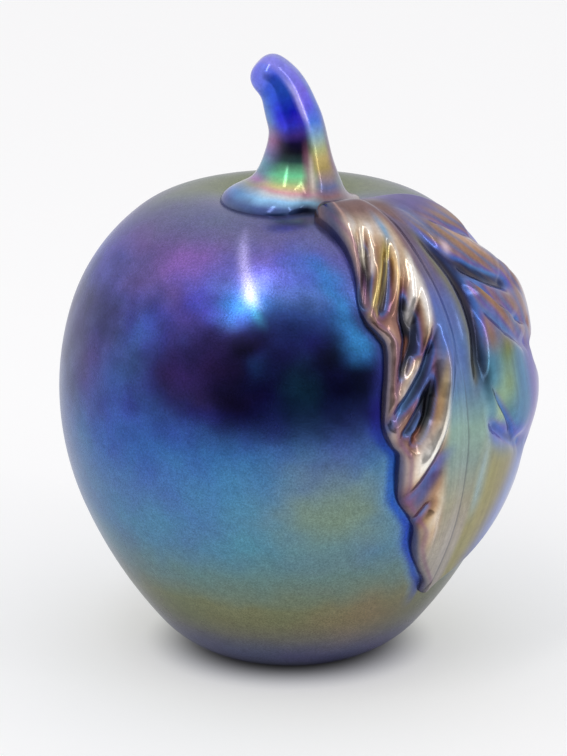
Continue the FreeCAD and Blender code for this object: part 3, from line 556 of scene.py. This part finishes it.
def leaf_colours(points, keep, s, v):
    """Lustre of the leaf by station and sweep share, and by how far the skin is pressed in or raised, with
    painted shade in the pressed lines and painted highlights on the raised folds.
    """
    s0 = s
    s = s + 0.02 * cloud(points, 7, 9)
    c = ramp([
        (0.00, lin(104, 86, 84)), (0.10, lin(134, 106, 98)), (0.20, lin(134, 106, 110)),
        (0.28, lin(112, 104, 132)), (0.35, lin(98, 112, 180)), (0.44, lin(88, 126, 186)),
        (0.52, lin(96, 138, 170)), (0.59, lin(142, 172, 160)), (0.66, lin(140, 158, 150)),
        (0.74, lin(164, 160, 138)), (0.84, lin(174, 166, 152)), (1.00, lin(168, 158, 150)),
    ], s - 0.05 * np.abs(v + 0.12))
    c = blend(c, lin(98, 96, 160), 0.85 * smooth(0.10, 0.34, v) * (1 - smooth(0.18, 0.30, s)))
    c = blend(c, lin(92, 138, 204), 0.8 * spot(s, v, 0.18, 0.20, 0.06, 0.09))
    right = smooth(0.08, 0.18, v)
    c = blend(c, lin(140, 104, 86), 0.9 * right * smooth(0.22, 0.30, s) * smooth(0.50, 0.40, s - 0.1 * v))
    c = blend(c, lin(96, 82, 120), 0.7 * spot(s, v, 0.33, 0.60, 0.05, 0.12))
    c = blend(c, lin(76, 134, 168), 0.9 * right * smooth(0.42, 0.49, s) * smooth(0.68, 0.60, s - 0.12 * v))
    c = blend(c, lin(104, 122, 52), 0.95 * spot(s, v, 0.475, 0.33, 0.035, 0.08))
    c = blend(c, lin(140, 164, 112), 0.8 * spot(s, v, 0.54, 0.29, 0.05, 0.08))
    c = blend(c, lin(168, 190, 140), 0.85 * spot(s, v, 0.59, 0.22, 0.04, 0.05))
    lower = smooth(0.60, 0.68, s - 0.12 * np.abs(v - 0.1)) * smooth(0.04, 0.10, v)
    c = blend(c, lin(156, 148, 92), 0.9 * lower)
    c = blend(c, lin(104, 120, 206), 0.85 * right * bell(s - 0.605 - 0.12 * v, 0.022))
    c = blend(c, lin(104, 72, 170), 0.85 * smooth(0.44, 0.62, v) * smooth(0.26, 0.36, s) * (1 - lower))
    c = blend(c, lin(108, 132, 214), 0.8 * lower * smooth(0.36, 0.62, v + 0.9 * (s - 0.66)))
    c = blend(c, lin(150, 178, 186), 0.7 * lower * bell(v - 0.09, 0.05) * (1 - smooth(0.74, 0.84, s)))
    # painted shade darkens the pressed lines to black and painted highlights turn the raised folds cream and
    # white; between them the colour turns the way a thinner or thicker skin does
    fold_shade_and_highlight = ramp([
        (0.10, lin(6, 5, 9)), (0.30, lin(14, 11, 18)), (0.42, lin(44, 40, 76)),
        (0.50, lin(82, 104, 166)), (0.57, lin(124, 84, 116)), (0.67, lin(120, 82, 66)),
        (0.82, lin(172, 132, 100)), (0.95, lin(216, 192, 162)), (1.06, lin(250, 242, 228)),
        (1.50, lin(252, 248, 242)),
    ], keep + 0.06 * cloud(points, 4, 10))
    # on the right: painted shade in the pressed lines, painted highlights on the raised folds
    edges = ramp([
        (0.10, lin(16, 20, 40)), (0.30, lin(30, 44, 88)), (0.46, lin(66, 112, 190)),
        (0.60, lin(116, 88, 166)), (0.80, lin(150, 116, 96)), (0.95, lin(176, 142, 112)),
        (1.10, lin(206, 176, 146)), (1.40, lin(232, 214, 196)),
    ], keep + 0.08 * cloud(points, 5, 13))
    left = smooth(-0.22, -0.36, v) * smooth(0.13, 0.20, s) * (1 - smooth(0.78, 0.86, s))
    c = blend(c, fold_shade_and_highlight, 0.92 * left)
    c = blend(c, edges, 0.75 * right * smooth(0.12, 0.2, s) * smooth(0.46, 0.38, s - 0.1 * v))
    # thin bands of blue and gold over the upper right lobes
    bands = 0.5 + 0.5 * np.sin(34 * v - 30 * s + 14 * keep)
    upper = right * smooth(0.13, 0.2, s0) * smooth(0.46, 0.40, s0 - 0.1 * v)
    c = blend(c, lin(84, 118, 172), 0.55 * upper * bands ** 3)
    c = blend(c, lin(168, 140, 88), 0.5 * upper * (1 - bands) ** 4)
    # painted shade in the pressed lines of the middle and the right, and painted highlights on raised right
    # folds
    c = blend(c, fold_shade_and_highlight, 0.75 * (1 - left) * (1 - right) * smooth(0.62, 0.34, keep))
    c = blend(c, edges, 0.8 * right * smooth(0.70, 0.40, keep))
    c = blend(c, lin(206, 176, 146), 0.7 * right * smooth(1.06, 1.3, keep))

    # strokes of painted highlight, copper and painted black shade: colour, share, station, side, slope and
    # the two sizes
    strokes = [
        (lin(172, 158, 84), 0.8, 0.275, -0.68, 3.0, 0.085, 0.07),
        (lin(236, 218, 130), 0.7, 0.285, -0.66, 3.0, 0.075, 0.014),
        (lin(244, 226, 150), 0.6, 0.285, -0.74, 3.0, 0.065, 0.012),
        (lin(255, 244, 222), 0.9, 0.205, -0.785, 1.3, 0.038, 0.030),
        (lin(250, 236, 214), 0.85, 0.215, -0.86, 1.0, 0.045, 0.030),
        (lin(250, 236, 218), 0.8, 0.235, -0.73, 1.6, 0.035, 0.032),
        (lin(252, 212, 150), 0.8, 0.285, -0.53, 1.35, 0.07, 0.016),
        (lin(255, 250, 244), 0.9, 0.335, -0.44, 1.7, 0.04, 0.035),
        (lin(226, 206, 178), 0.8, 0.485, -0.64, 2.9, 0.035, 0.06),
        (lin(10, 8, 12), 0.9, 0.395, -0.56, 0.4, 0.035, 0.045),
        (lin(140, 92, 66), 0.85, 0.425, -0.62, 2.2, 0.022, 0.028),
        (lin(12, 9, 12), 0.85, 0.550, -0.47, 1.6, 0.045, 0.045),
        (lin(196, 158, 112), 0.8, 0.520, -0.31, 1.3, 0.070, 0.035),
        (lin(150, 84, 60), 0.7, 0.598, -0.58, 2.2, 0.018, 0.05),
        (lin(84, 108, 176), 0.6, 0.665, -0.36, 3.0, 0.035, 0.07),
        (lin(66, 28, 52), 0.7, 0.690, -0.42, 3.0, 0.018, 0.05),
    ]
    for colour, share, at_s, at_v, slope, size_s, size_v in strokes:
        along, across = (s0 - at_s) / size_s, (v - at_v + slope * (s0 - at_s)) / size_v
        c = blend(c, colour, share * np.exp(-along ** 4 - across ** 2))
    c = blend(c, lin(112, 160, 206), 0.8 * spot(s, v, 0.185, -0.44, 0.03, 0.06))
    side = smooth(0.04, 0.08, s) * (1 - smooth(0.30, 0.37, s))
    c = blend(c, lin(72, 86, 122), 0.8 * side * bell(v + 1.08, 0.12))
    c = blend(c, lin(214, 176, 160), 0.5 * side * bell(v + 0.93, 0.025))
    crossing = bell(v + 0.62 + 3.6 * (s - 0.50), 0.06) * smooth(0.43, 0.47, s) * smooth(0.60, 0.56, s)
    c = blend(c, lin(86, 122, 178), 0.8 * crossing)
    # a painted highlight, cream, on a lower left lobe
    c = blend(c, lin(252, 248, 240), 0.95 * spot(s, v + 2.0 * (s - 0.63), 0.63, -0.50, 0.035, 0.09))
    c = blend(c, lin(70, 92, 150), 0.75 * spot(s, v, 0.66, -0.78, 0.05, 0.08))
    c = blend(c, lin(78, 100, 160), 0.7 * spot(s, v + 2.4 * (s - 0.72), 0.72, -0.50, 0.03, 0.07))
    # a painted highlight, bronze, on the last lobe
    c = blend(c, lin(190, 158, 122), 0.8 * spot(s, v, 0.80, -0.36, 0.05, 0.08))
    tail = np.abs(v + 0.47 - 1.6 * (s - 0.84)) - 0.02
    c = blend(c, lin(76, 92, 120), 0.8 * smooth(0.74, 0.80, s) * smooth(0.06, 0.0, tail))
    # painted shade on the rim of the left edge, and the rim and the painted shade of the groove beside the
    # midrib
    inside = v + curve(LEFT_EDGE, s0)
    border = smooth(0.10, 0.18, s0) * (v < 0)
    c = blend(c, lin(126, 84, 120), 0.55 * bell(inside - 0.095, 0.03) * border)
    c = blend(c, lin(38, 50, 96), 0.85 * bell(inside, 0.055) * border)
    rim = bell(v - 0.075, 0.035) * smooth(0.16, 0.24, s0) * smooth(0.56, 0.48, s0)
    c = blend(c, lin(126, 124, 84), 0.75 * rim)
    groove = bell(v - 0.14, 0.035) * smooth(0.22, 0.28, s0) * smooth(0.58, 0.50, s0)
    c = blend(c, lin(20, 22, 34), 0.85 * groove)
    c = blend(c, lin(70, 76, 84), 0.6 * bell(v + 0.012, 0.010) * smooth(0.46, 0.54, s0))
    # a small painted highlight, pink-white
    c = blend(c, lin(240, 214, 226), 0.8 * spot(s0, v, 0.245, 0.25, 0.014, 0.03))
    # grain drawn out along the leaf
    grain = cloud(np.stack([s * 6, v * 60, 0 * s], -1), 1.0, 11)
    return c * (1 + 0.22 * grain + 0.16 * cloud(points, 1.3, 12))[..., None]


def make_leaf():
    """The leaf's skin over a grid of stations, closed by an underside sunk into the body."""
    station = np.linspace(0, 1, LEAF_ROWS)[:, None] * np.ones(LEAF_COLUMNS)
    place = np.linspace(-1, 1, LEAF_COLUMNS)[None, :] * np.ones((LEAF_ROWS, 1))
    across = 0.5 * np.abs(place) + 0.5 * np.sin(pi / 2 * np.abs(place))
    right = place > 0
    reach = np.where(right, curve(RIGHT_EDGE, station), curve(LEFT_EDGE, station))
    side = np.where(right, 1, -1) * reach * across
    lift, keep = leaf_height(station, side, across)
    border = np.zeros(lift.shape, bool)
    border[0] = border[-1] = True
    border[:, 0] = border[:, -1] = True
    turn = side * np.where(right, radians(RIGHT_SWEEP), radians(LEFT_SWEEP))
    top = leaf_point(station, turn, np.where(border, BORDER_SINK, lift))
    under = leaf_point(station, turn, np.where(border, BORDER_SINK, UNDER_SINK))
    paint = leaf_colours(top, keep, station, side).reshape(-1, 3)
    above = np.arange(LEAF_ROWS * LEAF_COLUMNS).reshape(LEAF_ROWS, LEAF_COLUMNS)
    below = np.where(border, above, above + above.size)
    above, below = above.tolist(), below.tolist()
    faces = []
    for i in range(LEAF_ROWS - 1):
        for k in range(LEAF_COLUMNS - 1):
            faces.append((above[i][k], above[i][k + 1], above[i + 1][k + 1], above[i + 1][k]))
            faces.append((below[i][k], below[i + 1][k], below[i + 1][k + 1], below[i][k + 1]))
    verts = np.concatenate([top.reshape(-1, 3), under.reshape(-1, 3)])
    return painted_object("laid_leaf", verts, faces, np.concatenate([paint, paint]))


# The glass
NOISE_MIDDLE = (0.3, 0.7)
BROAD_GRAIN = 60
HUE_DRIFT, GLOSS_DRIFT = 0.02, 0.15
COOL_GLOSS = (0.7, 0.7, 0.8, 1)
BUMP_HEIGHT = 0.00005


def noise(nodes, links, place, scale, detail):
    """Output of a noise texture over coordinates in metres."""
    node = nodes.new("ShaderNodeTexNoise")
    node.inputs["Scale"].default_value = scale
    node.inputs["Detail"].default_value = detail
    links.new(place, node.inputs["Vector"])
    return node.outputs["Fac"]


def remap(nodes, links, value, source, target=(0, 1), kind="LINEAR"):
    """A value carried from the source range to the target range."""
    node = nodes.new("ShaderNodeMapRange")
    node.interpolation_type = kind
    node.inputs["From Min"].default_value, node.inputs["From Max"].default_value = source
    node.inputs["To Min"].default_value, node.inputs["To Max"].default_value = target
    links.new(value, node.inputs["Value"])
    return node.outputs["Result"]


def math_node(nodes, operation):
    node = nodes.new("ShaderNodeMath")
    node.operation = operation
    return node


def glass(name, roughness, metallic, speckle, grain, bump):
    """Lustred glass: the painted skin, broken by fine grain in colour and gloss."""
    mat = bpy.data.materials.new(name)
    mat.use_nodes = True
    nodes, links = mat.node_tree.nodes, mat.node_tree.links
    skin = nodes["Principled BSDF"]
    place = nodes.new("ShaderNodeTexCoord").outputs["Object"]
    paint = nodes.new("ShaderNodeAttribute")
    paint.attribute_name = "lustre"
    fine = noise(nodes, links, place, grain, 3)
    broad = noise(nodes, links, place, BROAD_GRAIN, 4)
    tint = nodes.new("ShaderNodeHueSaturation")
    level = remap(nodes, links, fine, NOISE_MIDDLE, (1 - speckle, 1 + speckle))
    hue = remap(nodes, links, broad, NOISE_MIDDLE, (0.5 - HUE_DRIFT, 0.5 + HUE_DRIFT))
    links.new(paint.outputs["Color"], tint.inputs["Color"])
    links.new(hue, tint.inputs["Hue"])
    links.new(level, tint.inputs["Value"])
    links.new(tint.outputs["Color"], skin.inputs["Base Color"])
    gloss = (roughness * (1 - GLOSS_DRIFT), roughness * (1 + GLOSS_DRIFT))
    links.new(remap(nodes, links, broad, NOISE_MIDDLE, gloss), skin.inputs["Roughness"])
    skin.inputs["Metallic"].default_value = metallic
    skin.inputs["Specular Tint"].default_value = COOL_GLOSS
    if bump:
        dents = nodes.new("ShaderNodeBump")
        dents.inputs["Strength"].default_value = bump
        dents.inputs["Distance"].default_value = BUMP_HEIGHT
        links.new(fine, dents.inputs["Height"])
        links.new(dents.outputs["Normal"], skin.inputs["Normal"])
    return mat


body = make_body()
stem = make_stem()
leaf = make_leaf()
# each glass: name, roughness, metallic, speckle, grain, bump
for piece, mat, node, slot in (
    (body, glass("satin_lustre", 0.25, 0.80, 0.22, 2600, 0.22), "apple_body", "body_glass"),
    (stem, glass("stem_lustre", 0.16, 0.40, 0.08, 1800, 0.0), "stem", "stem_glass"),
    (leaf, glass("leaf_lustre", 0.17, 0.70, 0.08, 1800, 0.0), "leaf", "leaf_glass"),
):
    piece.data.materials.append(mat)
    clean(piece)
    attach(piece, "root")
    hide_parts(node)


# The stage, in metres: floor, lights, world and camera
FLOOR_CENTRE, FLOOR_SIZE = (0, 1.20, -0.0002), (6, 3.3)
# the floor's colour, the painted contact shadow's colour and fade, and the floor's painted glow
FLOOR_COLOUR, CONTACT_COLOUR = (0.72, 0.72, 0.715, 1), (0.10, 0.10, 0.12, 1)
CONTACT_FADE = (0.016, 0.033)
FLOOR_GLOW = 0.29
TENT, OPENING = (0.87, 0.865, 0.885, 1), (0.05, 0.05, 0.06, 1)
OPENING_FACING, OPENING_TOP = (-0.60, -0.94), (0.50, 0.16)
LENS, SENSOR, NEAR = 156.1, 36, 0.01
EYE, AIM = (-0.00139, -0.67117, 0.25741), (-0.00139, 0, 0.0586)


def floor_material():
    """Matt white that fades to a painted dark contact shadow towards the ground base, with a painted glow
    that lifts the white away from it.
    """
    mat = bpy.data.materials.new("sweep_floor")
    mat.use_nodes = True
    nodes, links = mat.node_tree.nodes, mat.node_tree.links
    skin = nodes["Principled BSDF"]
    skin.inputs["Roughness"].default_value = 0.9
    skin.inputs["Specular IOR Level"].default_value = 0.1
    skin.inputs["Emission Color"].default_value = (1, 1, 1, 1)
    reach = nodes.new("ShaderNodeVectorMath")
    reach.operation = "LENGTH"
    links.new(nodes.new("ShaderNodeNewGeometry").outputs["Position"], reach.inputs[0])
    fade = remap(nodes, links, reach.outputs["Value"], CONTACT_FADE, kind="SMOOTHSTEP")
    tone = nodes.new("ShaderNodeMix")
    tone.data_type = "RGBA"
    tone.inputs["A"].default_value = CONTACT_COLOUR
    tone.inputs["B"].default_value = FLOOR_COLOUR
    links.new(fade, tone.inputs["Factor"])
    links.new(tone.outputs["Result"], skin.inputs["Base Color"])
    # painted glow: the floor emits light where it is white
    glow = math_node(nodes, "MULTIPLY")
    glow.inputs[1].default_value = FLOOR_GLOW
    links.new(fade, glow.inputs[0])
    links.new(glow.outputs["Value"], skin.inputs["Emission Strength"])
    return mat


def make_floor():
    x, y = FLOOR_SIZE[0] / 2, FLOOR_SIZE[1] / 2
    mesh = bpy.data.meshes.new("sweep_floor")
    mesh.from_pydata([(-x, -y, 0), (x, -y, 0), (x, y, 0), (-x, y, 0)], [], [(0, 1, 2, 3)])
    mesh.materials.append(floor_material())
    obj = bpy.data.objects.new("sweep_floor", mesh)
    obj.location = FLOOR_CENTRE
    bpy.context.scene.collection.objects.link(obj)


def area(name, place, target, size, power):
    """A rectangular light at a place, aimed at a target."""
    light = bpy.data.lights.new(name, "AREA")
    light.shape = "RECTANGLE"
    light.size, light.size_y = size
    light.energy = power
    obj = bpy.data.objects.new(name, light)
    obj.location = place
    obj.rotation_euler = (Vector(target) - Vector(place)).to_track_quat("-Z", "Y").to_euler()
    bpy.context.scene.collection.objects.link(obj)


def make_world():
    """A white tent with a dark opening low on the camera's side, hidden from the camera itself."""
    world = bpy.data.worlds.new("tent")
    bpy.context.scene.world = world
    world.use_nodes = True
    nodes, links = world.node_tree.nodes, world.node_tree.links
    split = nodes.new("ShaderNodeSeparateXYZ")
    links.new(nodes.new("ShaderNodeTexCoord").outputs["Generated"], split.inputs["Vector"])
    facing = remap(nodes, links, split.outputs["Y"], OPENING_FACING, kind="SMOOTHSTEP")
    lower = remap(nodes, links, split.outputs["Z"], OPENING_TOP, kind="SMOOTHSTEP")
    opening = math_node(nodes, "MULTIPLY")
    links.new(facing, opening.inputs[0])
    links.new(lower, opening.inputs[1])
    hidden = math_node(nodes, "MULTIPLY_ADD")
    hidden.inputs[1].default_value = -1
    hidden.inputs[2].default_value = 1
    links.new(nodes.new("ShaderNodeLightPath").outputs["Is Camera Ray"], hidden.inputs[0])
    veil = math_node(nodes, "MULTIPLY")
    links.new(opening.outputs["Value"], veil.inputs[0])
    links.new(hidden.outputs["Value"], veil.inputs[1])
    mix = nodes.new("ShaderNodeMix")
    mix.data_type = "RGBA"
    mix.inputs["A"].default_value = TENT
    mix.inputs["B"].default_value = OPENING
    links.new(veil.outputs["Value"], mix.inputs["Factor"])
    back = nodes["Background"]
    back.inputs["Strength"].default_value = 1.0
    links.new(mix.outputs["Result"], back.inputs["Color"])


def make_camera():
    """The photograph's view: a long lens from the front, a little above."""
    cam = bpy.data.cameras.new("photo_camera")
    cam.lens = LENS
    cam.sensor_width = SENSOR
    cam.clip_start = NEAR
    eye = bpy.data.objects.new("photo_camera", cam)
    eye.location = EYE
    eye.rotation_euler = (Vector(AIM) - eye.location).to_track_quat("-Z", "Y").to_euler()
    bpy.context.scene.collection.objects.link(eye)
    bpy.context.scene.camera = eye


make_floor()
area("left_strip", (-0.310, -0.500, 0.82), (0, 0, 0.06), (0.13, 0.72), 1.2)
area("right_strip", (0.72, -0.50, 0.62), (0, 0, 0.08), (0.08, 0.80), 0.7)
make_world()
make_camera()
bpy.context.scene.view_settings.view_transform = "Standard"
